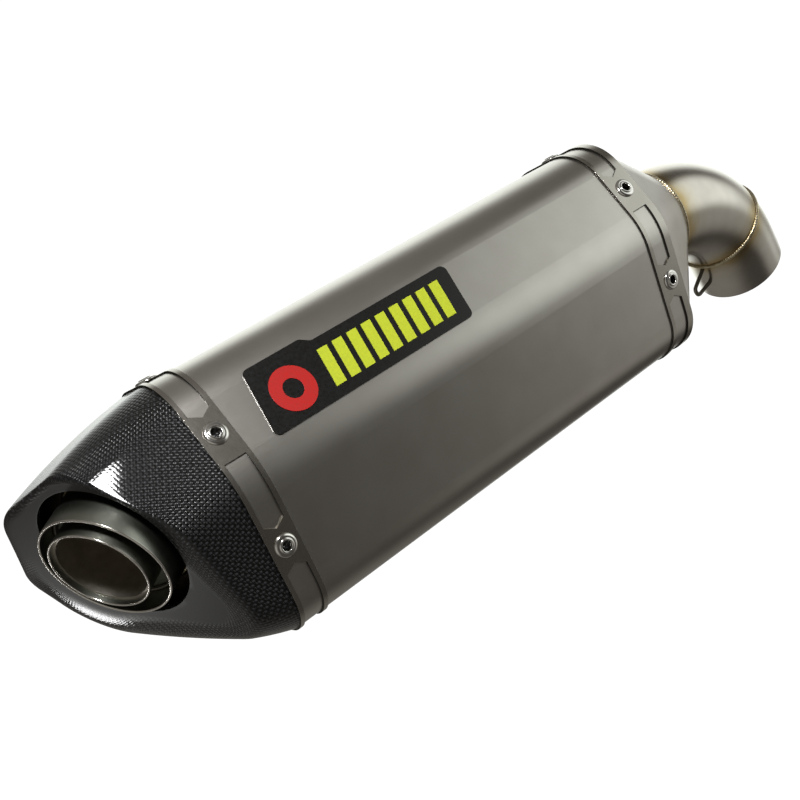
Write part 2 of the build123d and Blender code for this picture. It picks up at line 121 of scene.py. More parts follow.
studio = {
    "base": 0.075,
    "boxes": [
        # azimuth, elevation, full within, gone beyond, strength
        (-32, 8, 13, 33, 1.20),
        (-22, -30, 4, 30, 0.34),
        (2, -14, 6, 26, 0.40),
        (50, 10, 23, 47, 1.45),
        (180, 10, 10, 60, 0.08),
        (-150, -15, 12, 50, 0.27),
        (0, 90, 15, 65, 0.15),
        (110, -50, 10, 60, 0.20),
    ],
    "dimTint": "#f0e7dc",
    "brightTint": "#fbfffa",
    "tintGain": 1.2,
}
lamps = {
    # each stands at a distance from what it is aimed at, in the direction away
    "smallSoftbox": {
        "aim": (-0.175, -0.036, 0.034), "away": (-0.06, -0.71, 0.705), "distance": 0.9,
        "size": 0.19, "power": 7.0, "inReflections": True,
    },
    "rimSoftbox": {
        "aim": (-0.193, 0.027, -0.0134), "away": (-0.70, 0.58, -0.42), "distance": 0.9,
        "size": 0.07, "power": 0.22, "inReflections": True,
    },
    "frontFill": {
        "aim": (0, 0, 0), "away": camera["place"], "distance": 1.4,
        "size": 1.2, "power": 3.5, "inReflections": False,
    },
}
sweep = {
    "radius": 2.2,
    "drop": 0.42,
    "coveRadius": 1.2,
    "coveSteps": 12,
    "wallHeight": 2.5,
    "around": 64,
    "glow": 1.12,
    "glowShare": 0.95,
}


def addWorld():
    world = bpy.data.worlds.new("studioWorld")
    scene.world = world
    world.use_nodes = True
    tree = world.node_tree
    tree.nodes.clear()
    look = addNode(tree, "ShaderNodeTexCoord").outputs["Generated"]
    total = None
    for azimuth, elevation, inside, outside, strength in studio["boxes"]:
        a, e = math.radians(azimuth), math.radians(elevation)
        towards = (math.cos(e) * math.cos(a), math.cos(e) * math.sin(a), math.sin(e))
        facing = addNode(tree, "ShaderNodeVectorMath", {0: look, 1: towards}, operation="DOT_PRODUCT")
        box = addNode(tree, "ShaderNodeMapRange", {
            "Value": facing.outputs["Value"],
            "From Min": math.cos(math.radians(outside)), "From Max": math.cos(math.radians(inside)),
            "To Min": 0.0, "To Max": strength,
        }, interpolation_type="SMOOTHSTEP")
        first = studio["base"] if total is None else total
        total = addNode(tree, "ShaderNodeMath", {0: first, 1: box.outputs["Result"]}).outputs[0]
    strong = addNode(tree, "ShaderNodeMath", {0: total, 1: studio["tintGain"]},
                     operation="MULTIPLY", use_clamp=True)
    tint = addNode(tree, "ShaderNodeValToRGB", {"Fac": strong.outputs[0]})
    fillRamp(tint, [(0.0, studio["dimTint"]), (1.0, studio["brightTint"])])
    light = addNode(tree, "ShaderNodeBackground", {"Color": tint.outputs["Color"], "Strength": total})
    addNode(tree, "ShaderNodeOutputWorld", {"Surface": light.outputs[0]})


def addLamp(name, lamp):
    data = bpy.data.lights.new(name, "AREA")
    data.shape = "DISK"
    data.size = lamp["size"]
    data.energy = lamp["power"]
    aim = Vector(lamp["aim"])
    holder = bpy.data.objects.new(name, data)
    holder.location = aim + Vector(lamp["away"]).normalized() * lamp["distance"]
    holder.rotation_euler = (aim - holder.location).to_track_quat("-Z", "Y").to_euler()
    holder.visible_glossy = lamp["inReflections"]
    scene.collection.objects.link(holder)


def addFloor():
    # a disc that turns up into a wall; it shows only to the camera, so it doesn't fill the metal
    low = cadBounds[0][2] - sweep["drop"]
    profile = [(0.0, low), (sweep["radius"], low)]
    for step in range(1, sweep["coveSteps"] + 1):
        turn = math.radians(90) * step / sweep["coveSteps"]
        profile.append((sweep["radius"] + sweep["coveRadius"] * math.sin(turn),
                        low + sweep["coveRadius"] * (1 - math.cos(turn))))
    profile.append((profile[-1][0], low + sweep["wallHeight"]))
    shape = bmesh.new()
    points = [shape.verts.new((x, 0, z)) for x, z in profile]
    lines = [shape.edges.new(pair) for pair in zip(points, points[1:])]
    bmesh.ops.spin(shape, geom=points + lines, axis=(0, 0, 1), cent=(0, 0, 0),
                   angle=math.tau, steps=sweep["around"])
    bmesh.ops.remove_doubles(shape, verts=shape.verts, dist=1e-5)
    mesh = bpy.data.meshes.new("studioFloor")
    shape.to_mesh(mesh)
    shape.free()
    for face in mesh.polygons:
        face.use_smooth = True
    floor = bpy.data.objects.new("studioFloor", mesh)
    scene.collection.objects.link(floor)
    for ray in ("visible_diffuse", "visible_glossy", "visible_transmission", "visible_shadow"):
        setattr(floor, ray, False)
    paper = bpy.data.materials.new("whitePaper")
    paper.use_nodes = True
    tree = paper.node_tree
    tree.nodes.clear()
    matt = addNode(tree, "ShaderNodeBsdfDiffuse", {"Color": hexColour("#ffffff")})
    glow = addNode(tree, "ShaderNodeEmission", {"Color": hexColour("#ffffff"), "Strength": sweep["glow"]})
    both = addNode(tree, "ShaderNodeMixShader", {
        0: sweep["glowShare"], 1: matt.outputs[0], 2: glow.outputs[0]})
    addNode(tree, "ShaderNodeOutputMaterial", {"Surface": both.outputs[0]})
    mesh.materials.append(paper)


addCamera()
addWorld()
for name, lamp in lamps.items():
    addLamp(name, lamp)
addFloor()
scene.view_settings.view_transform = "Standard"
print("stage: camera and studio")


# where the pipe and its welds lie: lengths in metres, turns in degrees

pipe = {
    "start": Vector((175.6, 0, 4.1)) * mm,
    "radius": 27.4 * mm,
    "bendRadius": 81.4 * mm,
    "roll": 20.6,
    "seams": (0.0, 48.7),
}


def pipePlane(angle):
    # centre, direction down the pipe, and direction to the bend's centre, round the bend
    roll = math.radians(pipe["roll"])
    turn = math.radians(angle)
    across = Vector((0, math.sin(roll), -math.cos(roll)))
    centre = pipe["start"] + across * pipe["bendRadius"]
    along = Vector((math.cos(turn), 0, 0)) + across * math.sin(turn)
    inner = Vector((-math.sin(turn), 0, 0)) + across * math.cos(turn)
    return centre - inner * pipe["bendRadius"], along, inner


# materials

def newMaterial(name):
    # a material with its shader, and the place on the object that its patterns read
    material = bpy.data.materials.new(name)
    material.use_nodes = True
    tree = material.node_tree
    tree.nodes.clear()
    shader = addNode(tree, "ShaderNodeBsdfPrincipled")
    addNode(tree, "ShaderNodeOutputMaterial", {"Surface": shader.outputs[0]})
    place = addNode(tree, "ShaderNodeTexCoord").outputs["Object"]
    return material, tree, shader, place


noiseSpan = {"From Min": 0.3, "From Max": 0.7}  # where nearly all of a noise's values lie
seamTint = {
    "stops": [(0.0, "#d6c193"), (0.16, "#e2d0a4"), (0.34, "#efe8d6"), (0.6, "#fbf9f4"), (1.0, "#ffffff")],
    "reach": 20.0 * mm,
    "wander": 2.5 * mm,
    "patch": 14.0 * mm,
}


def heatTint(tree, place, tone):
    # oxide colours beside the pipe's welds: straw next to the bead, then bare metal
    patches = addNode(tree, "ShaderNodeTexNoise", {
        "Vector": place, "Scale": 1 / seamTint["patch"], "Detail": 2.0}).outputs["Fac"]
    wander = addNode(tree, "ShaderNodeMapRange", {
        "Value": patches, "To Min": -seamTint["wander"], "To Max": seamTint["wander"], **noiseSpan})
    for angle in pipe["seams"]:
        centre, along, _ = pipePlane(angle)
        offset = addNode(tree, "ShaderNodeVectorMath", {0: place, 1: centre}, operation="SUBTRACT")
        depth = addNode(tree, "ShaderNodeVectorMath", {0: offset.outputs[0], 1: along},
                        operation="DOT_PRODUCT")
        shifted = addNode(tree, "ShaderNodeMath", {0: depth.outputs["Value"], 1: wander.outputs["Result"]})
        away = addNode(tree, "ShaderNodeMath", {0: shifted.outputs[0]}, operation="ABSOLUTE")
        share = addNode(tree, "ShaderNodeMath", {0: away.outputs[0], 1: 1 / seamTint["reach"]},
                        operation="MULTIPLY", use_clamp=True)
        ramp = addNode(tree, "ShaderNodeValToRGB", {"Fac": share.outputs[0]})
        fillRamp(ramp, seamTint["stops"])
        tone = addNode(tree, "ShaderNodeMix", {0: 1.0, 6: tone, 7: ramp.outputs["Color"]},
                       data_type="RGBA", blend_type="MULTIPLY").outputs[2]
    return tone


def brushedMetal(name, light, dark, roughness, grain, stretch, depth, mottle=18.0, band=0.06, heated=False):
    # drawn lines that spread the highlight, and slow changes of tone; grain, depth and mottle are in mm,
    # and the lines are coarser than real ones, which would be too fine to show
    material, tree, shader, place = newMaterial(name)
    drawn = addNode(tree, "ShaderNodeMapping", {"Vector": place, "Scale": [1 / s for s in stretch]})
    lines = addNode(tree, "ShaderNodeTexNoise", {
        "Vector": drawn.outputs[0], "Scale": 1 / (grain * mm), "Detail": 4.0}).outputs["Fac"]
    slow = addNode(tree, "ShaderNodeTexNoise", {
        "Vector": place, "Scale": 1 / (mottle * mm), "Detail": 2.0}).outputs["Fac"]
    share = addNode(tree, "ShaderNodeMapRange", {"Value": slow, **noiseSpan}).outputs["Result"]
    tone = addNode(tree, "ShaderNodeMix", {0: share, 6: hexColour(dark), 7: hexColour(light)},
                   data_type="RGBA").outputs[2]
    if heated:
        tone = heatTint(tree, place, tone)
    rough = addNode(tree, "ShaderNodeMapRange", {
        "Value": lines, "To Min": roughness - band, "To Max": roughness + band, **noiseSpan})
    bump = addNode(tree, "ShaderNodeBump", {"Height": lines, "Strength": 0.2, "Distance": depth * mm})
    setSockets(tree, shader, {
        "Base Color": tone, "Metallic": 1.0, "Roughness": rough.outputs["Result"], "Normal": bump.outputs[0]})
    return material


# rolled titanium sheet, satin blasted: a warm grey that turns any light into a soft band
sleeveTitanium = brushedMetal(
    "sleeveTitanium", light="#c5c2bc", dark="#bfbbb5", roughness=0.30,
    grain=0.5, stretch=(8, 1, 1), depth=0.001, band=0.012)
# the same sheet as a band, a shade darker where it was pressed
strapTitanium = brushedMetal(
    "strapTitanium", light="#b4b0a9", dark="#aba79f", roughness=0.24,
    grain=0.5, stretch=(1, 5, 5), depth=0.001, band=0.015)
# the sheared walls of the bands and the eased rims inside their windows: a dark tone that is painted shade,
# for the shadow beside the sleeve
paintedShadeWall = brushedMetal(
    "paintedShadeWall", light="#4a4742", dark="#34322e", roughness=0.5,
    grain=0.3, stretch=(1, 1, 1), depth=0.01)
# eased rims of bands and tubes: polished, and given a lighter tone as a painted highlight along each rim
paintedHighlightRim = brushedMetal(
    "paintedHighlightRim", light="#dedad3", dark="#cfcbc4", roughness=0.18,
    grain=0.3, stretch=(1, 1, 1), depth=0.002)
# spun and hammered titanium sheet: broad, soft reflections, a little duller than the sleeve's
coneTitanium = brushedMetal(
    "coneTitanium", light="#cbc7c2", dark="#c0bcb6", roughness=0.32,
    grain=0.6, stretch=(1, 5, 5), depth=0.002, band=0.02)
# bent titanium pipe, brushed round its girth, and straw coloured beside its welds
pipeTitanium = brushedMetal(
    "pipeTitanium", light="#cbc6be", dark="#bfbab2", roughness=0.24,
    grain=0.5, stretch=(1, 4, 4), depth=0.002, band=0.02, heated=True)
# weld metal, a bright straw from its own heat
weldStraw = brushedMetal(
    "weldStraw", light="#cfc5a8", dark="#a3957a", roughness=0.30,
    grain=0.5, stretch=(1, 1, 1), depth=0.03, mottle=3.0)
# polished stainless steel: near mirror, so rivets sparkle
brightSteel = brushedMetal(
    "brightSteel", light="#e6e4e0", dark="#d8d6d2", roughness=0.16,
    grain=0.20, stretch=(1, 1, 1), depth=0.006, mottle=6.0, band=0.04)
# turned stainless tube, satin, with a cool green-grey cast
tubeSteel = brushedMetal(
    "tubeSteel", light="#96988f", dark="#8a8c83", roughness=0.32,
    grain=0.5, stretch=(1, 5, 5), depth=0.001, band=0.02)
# stainless sheet inside the tube, dulled by exhaust: a pale, warm grey with soft reflections
sootedSteel = brushedMetal(
    "sootedSteel", light="#dcd6cb", dark="#c9c2b6", roughness=0.42,
    grain=0.60, stretch=(1, 4, 4), depth=0.006, mottle=8.0)
# drawn spring wire: dull grey, with its lines along X
springSteel = brushedMetal(
    "springSteel", light="#8d8980", dark="#6f6b62", roughness=0.38,
    grain=0.30, stretch=(4, 1, 1), depth=0.02)
# plain sheet browned by exhaust heat: nearly matt
heatedSheet = brushedMetal(
    "heatedSheet", light="#5d564d", dark="#3a352f", roughness=0.55,
    grain=0.60, stretch=(2, 1, 1), depth=0.03, mottle=9.0)


weave = {
    # roughness is given for the rubbed face, then for fresh lacquer; a fade is given from where it starts
    # to where it ends, in millimetres into the face or above the middle
    "towWidth": 1.7,
    "turn": 12,
    "gapTone": "#040405",
    "glintDotTone": "#2c2c30",
    "rubbedTone": "#0c0c0d",
    "roughness": (0.42, 0.30),
    "coatRoughness": (0.38, 0.05),
    "sideFades": (0.5, 3.0),
    "rimFades": (7.0, 13.0),
    "heightFades": (4.0, 22.0),
    "dotEdges": (0.35, 0.8),
}


def carbonMaterial(name):
    # clear-coated plain weave: each crossing is a small pillow that catches the light by its relief, and
    # every other crossing also carries a lighter dot as a painted glint
    material, tree, shader, place = newMaterial(name)
    flat = addNode(tree, "ShaderNodeUVMap", uv_map="weave").outputs[0]
    turned = addNode(tree, "ShaderNodeMapping", {
        "Vector": flat, "Rotation": (0, 0, math.radians(weave["turn"]))})
    split = addNode(tree, "ShaderNodeSeparateXYZ", {0: turned.outputs[0]})
    waves = []
    for axis in ("X", "Y"):
        phase = addNode(tree, "ShaderNodeMath", {
            0: split.outputs[axis], 1: math.pi / (weave["towWidth"] * mm)}, operation="MULTIPLY")
        waves.append(addNode(tree, "ShaderNodeMath", {0: phase.outputs[0]}, operation="SINE").outputs[0])
    crossing = addNode(tree, "ShaderNodeMath", {0: waves[0], 1: waves[1]}, operation="MULTIPLY").outputs[0]
    pillow = addNode(tree, "ShaderNodeMath", {0: crossing}, operation="ABSOLUTE").outputs[0]
    # the slanted face is rubbed satin; its weave only shows along the lower rim
    inFace = addNode(tree, "ShaderNodeAttribute", attribute_name="faceDepth").outputs["Fac"]
    height = addNode(tree, "ShaderNodeSeparateXYZ", {0: place}).outputs["Z"]
    side, rim, lower = [
        addNode(tree, "ShaderNodeMapRange", {
            "Value": value, "From Min": weave[fade][0] * mm, "From Max": weave[fade][1] * mm,
            "To Min": 1.0, "To Max": 0.0}).outputs["Result"]
        for value, fade in ((inFace, "sideFades"), (inFace, "rimFades"), (height, "heightFades"))]
    lowRim = addNode(tree, "ShaderNodeMath", {0: rim, 1: lower}, operation="MULTIPLY").outputs[0]
    glossy = addNode(tree, "ShaderNodeMath", {0: side, 1: lowRim}, operation="MAXIMUM").outputs[0]
    relief = addNode(tree, "ShaderNodeMath", {0: pillow, 1: glossy}, operation="MULTIPLY").outputs[0]
    # where the weave shows, every other crossing is painted a lighter tone: a painted glint on the tow
    dot = addNode(tree, "ShaderNodeMapRange", {
        "Value": crossing, "From Min": weave["dotEdges"][0], "From Max": weave["dotEdges"][1]})
    cloth = addNode(tree, "ShaderNodeMix", {
        0: dot.outputs["Result"], 6: hexColour(weave["gapTone"]), 7: hexColour(weave["glintDotTone"])},
        data_type="RGBA").outputs[2]
    tone = addNode(tree, "ShaderNodeMix", {0: glossy, 6: hexColour(weave["rubbedTone"]), 7: cloth},
                   data_type="RGBA").outputs[2]
    rough, coatRough = [
        addNode(tree, "ShaderNodeMapRange", {
            "Value": glossy, "To Min": weave[pair][0], "To Max": weave[pair][1]}).outputs["Result"]
        for pair in ("roughness", "coatRoughness")]
    bump = addNode(tree, "ShaderNodeBump", {"Height": relief, "Strength": 0.8, "Distance": 0.30 * mm})
    skin = addNode(tree, "ShaderNodeBump", {"Height": relief, "Strength": 0.3, "Distance": 0.02 * mm})
    setSockets(tree, shader, {
        "Base Color": tone, "Metallic": 0.0, "Roughness": rough,
        "Specular IOR Level": 0.35, "Coat Weight": 0.55, "Coat IOR": 1.5, "Coat Roughness": coatRough,
        "Normal": bump.outputs[0], "Coat Normal": skin.outputs[0],
    })
    return material


# carbon cloth under clear lacquer: black, glossy, with a dotted weave whose lighter dots are painted glints
carbonCloth = carbonMaterial("carbonCloth")


def softMaterial(name, light, deep, grain, stretch, detail, bumpStrength, bumpDepth, roughness, band):
    # a finish with no metal in it: two near tones and a small relief that share one noise, sizes in mm
    material, tree, shader, place = newMaterial(name)
    drawn = addNode(tree, "ShaderNodeMapping", {"Vector": place, "Scale": [1 / s for s in stretch]})
    peel = addNode(tree, "ShaderNodeTexNoise", {
        "Vector": drawn.outputs[0], "Scale": 1 / (grain * mm), "Detail": detail}).outputs["Fac"]
    share = addNode(tree, "ShaderNodeMapRange", {"Value": peel, **noiseSpan}).outputs["Result"]
    tone = addNode(tree, "ShaderNodeMix", {0: share, 6: hexColour(light), 7: hexColour(deep)},
                   data_type="RGBA").outputs[2]
    bump = addNode(tree, "ShaderNodeBump", {
        "Height": peel, "Strength": bumpStrength, "Distance": bumpDepth * mm})
    rough = roughness
    if band:
        rough = addNode(tree, "ShaderNodeMapRange", {
            "Value": peel, "To Min": roughness - band, "To Max": roughness + band, **noiseSpan})
        rough = rough.outputs["Result"]
    setSockets(tree, shader, {"Base Color": tone, "Roughness": rough, "Normal": bump.outputs[0]})
    return material


# printed enamel: even colour under a slight orange peel
enamel = {
    "grain": 1.2, "stretch": (1, 1, 1), "detail": 2.0, "bumpStrength": 0.15, "bumpDepth": 0.02, "band": 0.04,
}
blackEnamel = softMaterial("blackEnamel", light="#0b0a09", deep="#080707", roughness=0.30, **enamel)
redEnamel = softMaterial("redEnamel", light="#bb160f", deep="#b0120c", roughness=0.40, **enamel)
limeEnamel = softMaterial("limeEnamel", light="#c3cf2a", deep="#bac625", roughness=0.42, **enamel)
# glass wool: matt tangled fibre
packingFibre = softMaterial(
    "packingFibre", light="#b9ae93", deep="#8b8068", grain=0.8, stretch=(6, 1, 1), detail=6.0,
    bumpStrength=0.8, bumpDepth=0.5, roughness=0.95, band=0)

nodeFinish = {
    sleeveTitanium: ["outer_sleeve"],
    strapTitanium: ["outlet_strap", "inlet_strap"],
    coneTitanium: ["inlet_cone"],
    pipeTitanium: ["inlet_elbow", "slip_fit_elbow"],
    weldStraw: ["cone_weld", "elbow_weld", "outlet_tube_weld", "sleeve_seam_weld"],
    brightSteel: ["outlet_rivets", "inlet_rivets"],
    tubeSteel: ["outlet_tube", "noise_insert_tube", "noise_insert_flange"],
    sootedSteel: ["noise_insert_core", "noise_insert_plate"],
    springSteel: ["spring_hook", "noise_insert_clip", "core_mesh_wrap"],
    heatedSheet: ["outlet_inner_cap", "outlet_bulkhead", "inlet_bulkhead", "perforated_core"],
    carbonCloth: ["carbon_cap"],
    blackEnamel: ["badge_plate"],
    redEnamel: ["badge_disc"],
    limeEnamel: ["badge_bars"],
    packingFibre: ["packing_wool"],
}
for finish, names in nodeFinish.items():
    for name in names:
        for slot in nodes[name].material_slots:
            slot.material = finish
print("stage: materials")


# finishing and riding

def placePiece(name, mesh, body, node):
    # a finished mesh that rides on a body in place of a CAD node
    piece = bpy.data.objects.new(name, mesh)
    scene.collection.objects.link(piece)
    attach(piece, body)
    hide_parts(node)


def plainMesh(holder, name):
    # what the modifiers make of the holder, as a mesh of its own
    ready = bpy.context.evaluated_depsgraph_get()
    ready.update()
    mesh = bpy.data.meshes.new_from_object(holder.evaluated_get(ready), depsgraph=ready)
    bpy.data.objects.remove(holder)
    mesh.name = name
    return mesh


# carbon cap: loops of points from the skirt, over the side and the slanted face, into the hole and back

cap = {
    "bodyEnd": -136.7,
    "body": ((28.7, 60.0, 26.9), (48.7, 8.4, 37.3), (36.8, -60.0, 21.7)),
    "nose": ((24.1, 35.8, 11.0), (46.8, 9.2, 6.8), (41.9, -1.1, 9.9)),
    "noseDistance": 80.0,
    "fullness": (0.48, 0.52),
    "faceReach": 47.8,
    "faceTurn": (24.5, 14.9),
    "outletTurn": (26.9, 20.2),
    "outletPlace": (-10.8, 7.9),
    "holeRadius": 33.4,
    "wall": 2.2,
    "faceWall": 2.4,
    "sleeveWall": 1.0,
    "skirt": 13.0,
    "arcSteps": 12,
    "flatSteps": 8,
    "sideRows": 22,
    "faceRows": 9,
    "creaseSetback": 4.5,
    "creaseShare": 0.4,
    "creaseRows": 8,
    "holeRound": 0.8,
    "holeRoundSteps": 4,
    "sampleRows": 64,
    "longestReach": 1.3,
    "halvings": 22,
    "paceReach": 0.02,
    "smallestRadius": 0.5,
}


def direction(yaw, pitch):
    # towards the outlet, turned to the badge side by yaw and down by pitch, in degrees
    y, p = math.radians(yaw), math.radians(pitch)
    return Vector((-math.cos(p) * math.cos(y), -math.cos(p) * math.sin(y), -math.sin(p)))


faceNormal = direction(*cap["faceTurn"])
faceOffset = faceNormal.dot(Vector((cap["bodyEnd"] - cap["faceReach"], 0, 0)))
outletAxis = direction(*cap["outletTurn"])
levelTurn = math.radians(cap["outletTurn"][0])
outletLevel = Vector((math.sin(levelTurn), -math.cos(levelTurn), 0))
outletRise = outletAxis.cross(outletLevel)
side, rise = cap["outletPlace"]
outletCentre = Vector(((faceOffset - faceNormal.y * side - faceNormal.z * rise) / faceNormal.x, side, rise))


def sectionCorners(share, inset):
    # six corners with their radii, moved in by inset
    right = []
    for start, end in zip(cap["body"], cap["nose"]):
        right.append([a + (b - a) * share for a, b in zip(start, end)])
    corners = [Vector(c[:2]) for c in right] + [Vector((-c[0], c[1])) for c in reversed(right)]
    radii = [c[2] for c in right] + [c[2] for c in reversed(right)]
    moved = []
    for i, here in enumerate(corners):
        before, after = corners[i - 1], corners[(i + 1) % 6]
        first, second = (here - before).normalized(), (after - here).normalized()
        a, b = Vector((first.y, -first.x)), Vector((second.y, -second.x))
        moved.append(here + (a + b) * (inset / (1 + a.dot(b))))
    return moved, [max(r - inset, cap["smallestRadius"]) for r in radii]


def sectionLoop(share, inset):
    # the rounded outline as evenly shared points, clockwise from the upper right corner
    corners, radii = sectionCorners(share, inset)
    arcs = []
    for i, here in enumerate(corners):
        before, after = corners[i - 1], corners[(i + 1) % 6]
        first, second = (here - before).normalized(), (after - here).normalized()
        turn = first.angle(second)
        reach = radii[i] * math.tan(turn / 2)
        start = here - first * reach
        inwards = Vector((first.y, -first.x))
        centre = start + inwards * radii[i]
        arc = []
        for step in range(cap["arcSteps"] + 1):
            angle = turn * step / cap["arcSteps"]
            arc.append(centre - inwards * radii[i] * math.cos(angle) + first * radii[i] * math.sin(angle))
        arcs.append(arc)
    loop = []
    for i, arc in enumerate(arcs):
        loop += arc
        following = arcs[(i + 1) % 6][0]
        for step in range(1, cap["flatSteps"]):
            loop.append(arc[-1].lerp(following, step / cap["flatSteps"]))
    return loop


def sidePoints(reach, inset):
    # the section at a share of the nose's length, which narrows faster towards the tip
    share = cap["fullness"][0] * reach + cap["fullness"][1] * reach * reach
    x = cap["bodyEnd"] - cap["noseDistance"] * reach
    return [Vector((x, p.x, p.y)) for p in sectionLoop(share, inset)]


lineCache = {}


def linePoint(i, reach, inset):
    # a point on one line of the side, by a parabola through three sampled sections
    row = round(reach * cap["sampleRows"])
    if (row, inset) not in lineCache:
        lineCache[row, inset] = [sidePoints((row + k) / cap["sampleRows"], inset) for k in (-1, 0, 1)]
    before, here, after = [points[i] for points in lineCache[row, inset]]
    t = reach * cap["sampleRows"] - row
    return here + (after - before) * (t / 2) + (after + before - here * 2) * (t * t / 2)


def creaseReaches(inset, setback):
    # how far along each line of the side meets the slanted face, by halving
    count = len(sidePoints(0, inset))
    low, high = [0.0] * count, [cap["longestReach"]] * count
    for _ in range(cap["halvings"]):
        for i in range(count):
            middle = (low[i] + high[i]) / 2
            if faceNormal.dot(linePoint(i, middle, inset)) < faceOffset - setback:
                low[i] = middle
            else:
                high[i] = middle
    return low


def holePoints(crease, setback):
    # the hole's edge on the face, one point facing each point of the crease
    points = []
    for corner in crease:
        offset = corner - outletCentre
        angle = math.atan2(offset.dot(outletRise), offset.dot(outletLevel))
        spoke = (outletLevel * math.cos(angle) + outletRise * math.sin(angle)) * cap["holeRadius"]
        depth = -(spoke.dot(faceNormal) + setback) / outletAxis.dot(faceNormal)
        points.append(outletCentre + spoke + outletAxis * depth)
    return points


def shellLoops(inset, setback, startReach=0.0):
    # side rows from the sleeve, an eased crease, then face rows to the hole
    reaches = creaseReaches(inset, setback)
    crease = [linePoint(i, reach, inset) for i, reach in enumerate(reaches)]
    hole = holePoints(crease, setback)
    sideEnds, shoulders, faceStarts = [], [], []
    for i, (reach, corner, edge) in enumerate(zip(reaches, crease, hole)):
        run = min(cap["creaseSetback"], cap["creaseShare"] * (edge - corner).length)
        back = linePoint(i, reach - cap["paceReach"], inset)
        pace = (corner - back).length / cap["paceReach"]
        sideEnds.append(reach - run / pace)
        shoulders.append(linePoint(i, sideEnds[-1], inset))
        faceStarts.append(corner + (edge - corner).normalized() * run)
    rows = []
    for row in range(cap["sideRows"] + 1):
        t = row / cap["sideRows"]
        rows.append([linePoint(i, startReach + (end - startReach) * t, inset)
                     for i, end in enumerate(sideEnds)])
    for row in range(1, cap["creaseRows"] + 1):
        t = row / cap["creaseRows"]
        rows.append([a.lerp(c, t).lerp(c.lerp(b, t), t) for a, c, b in zip(shoulders, crease, faceStarts)])
    for row in range(1, cap["faceRows"] + 1):
        rows.append([a.lerp(b, row / cap["faceRows"]) for a, b in zip(faceStarts, hole)])
    return rows


def skirtLoop(x, inset):
    return [Vector((x, p.x, p.y)) for p in sectionLoop(0, inset)]


def buildCap():
    # all the loops joined into one closed wall, with cloth laid along it
    end, wall, inner = cap["bodyEnd"], cap["wall"], cap["sleeveWall"] + cap["wall"]
    loops = [skirtLoop(end + cap["skirt"], cap["sleeveWall"]), skirtLoop(end, cap["sleeveWall"])]
    outside = shellLoops(0.0, 0.0)
    creaseRow = len(loops) + cap["sideRows"] + cap["creaseRows"] // 2
    loops += outside
    holeRow = len(loops) - 1
    inside = shellLoops(wall, cap["faceWall"], wall / cap["noseDistance"])
    innerHoleRow = len(loops)
    loops += inside[::-1]
    loops += [skirtLoop(end - wall, inner), skirtLoop(end + cap["skirt"], inner)]
    shape = bmesh.new()
    weave = shape.loops.layers.uv.new("weave")
    faceDepth = shape.verts.layers.float.new("faceDepth")
    count = len(loops[0])
    rings = [[shape.verts.new(p * mm) for p in loop] for loop in loops]
    for row in range(creaseRow, holeRow + 1):
        for i, vertex in enumerate(rings[row]):
            vertex[faceDepth] = (loops[row][i] - loops[creaseRow][i]).length * mm
    # distance along each loop and from loop to loop, for the weave
    girth = [0.0]
    base = loops[2]
    for i in range(count):
        girth.append(girth[-1] + (base[(i + 1) % count] - base[i]).length)
    middle = girth[-1] / 2
    length = [[0.0] * count]
    for before, after in zip(loops, loops[1:]):
        length.append([length[-1][i] + (after[i] - before[i]).length for i in range(count)])
    for row in range(len(rings)):
        following = (row + 1) % len(rings)
        for i in range(count):
            j = (i + 1) % count
            face = shape.faces.new((rings[row][i], rings[row][j], rings[following][j], rings[following][i]))
            rowNext = row + 1 if following else row
            corners = ((row, i, i), (row, j, i + 1), (rowNext, j, i + 1), (rowNext, i, i))
            for loop, (r, k, g) in zip(face.loops, corners):
                loop[weave].uv = (length[r][k] * mm, (girth[g] - middle) * mm)
    shape.verts.ensure_lookup_table()
    for row in (holeRow, innerHoleRow):
        ring = rings[row]
        edges = [shape.edges.get((ring[i], ring[(i + 1) % count])) for i in range(count)]
        bmesh.ops.bevel(shape, geom=edges, offset=cap["holeRound"] * mm, offset_type="OFFSET",
                        segments=cap["holeRoundSteps"], profile=0.5, affect="EDGES", clamp_overlap=True)
    bmesh.ops.recalc_face_normals(shape, faces=shape.faces)
    for face in shape.faces:
        face.smooth = True
    mesh = bpy.data.meshes.new("carbonCap")
    shape.to_mesh(mesh)
    shape.free()
    mesh.set_sharp_from_angle(angle=sharpAngle)
    mesh.materials.append(carbonCloth)
    placePiece("carbonCap", mesh, "silencer", "carbon_cap")


buildCap()
print("stage: carbon cap")


# turned tubes: a wall round the outlet's axis, with rolled, polished lips painted lighter as a highlight

tubes = {
    "outletTube": {
        "node": "outlet_tube", "body": "silencer", "rise": 0.0, "proud": 0.0,
        "radius": 28.0, "wall": 1.2, "length": 36.0, "lip": 0.55,
    },
    "noiseInsertTube": {
        "node": "noise_insert_tube", "body": "noise_insert", "rise": 1.5, "proud": 3.0,
        "radius": 21.2, "wall": 1.0, "length": 30.0, "lip": 0.45,
    },
    "rimReach": 8.0,
    "steps": 128,
    "lipSteps": 4,
}
rimCentre = outletCentre + outletAxis * tubes["rimReach"]


def lipProfile(outer, wall, length, lip):
    # radius and depth round the wall, from the inside of the foot to its outside
    inner = outer - wall
    points = [(inner, -length)]
    for corner, start in ((inner + lip, 180), (outer - lip, 90)):
        for step in range(tubes["lipSteps"] + 1):
            angle = math.radians(start - 90 * step / tubes["lipSteps"])
            points.append((corner + lip * math.cos(angle), lip * (math.sin(angle) - 1)))
    points.append((outer, -length))
    return points


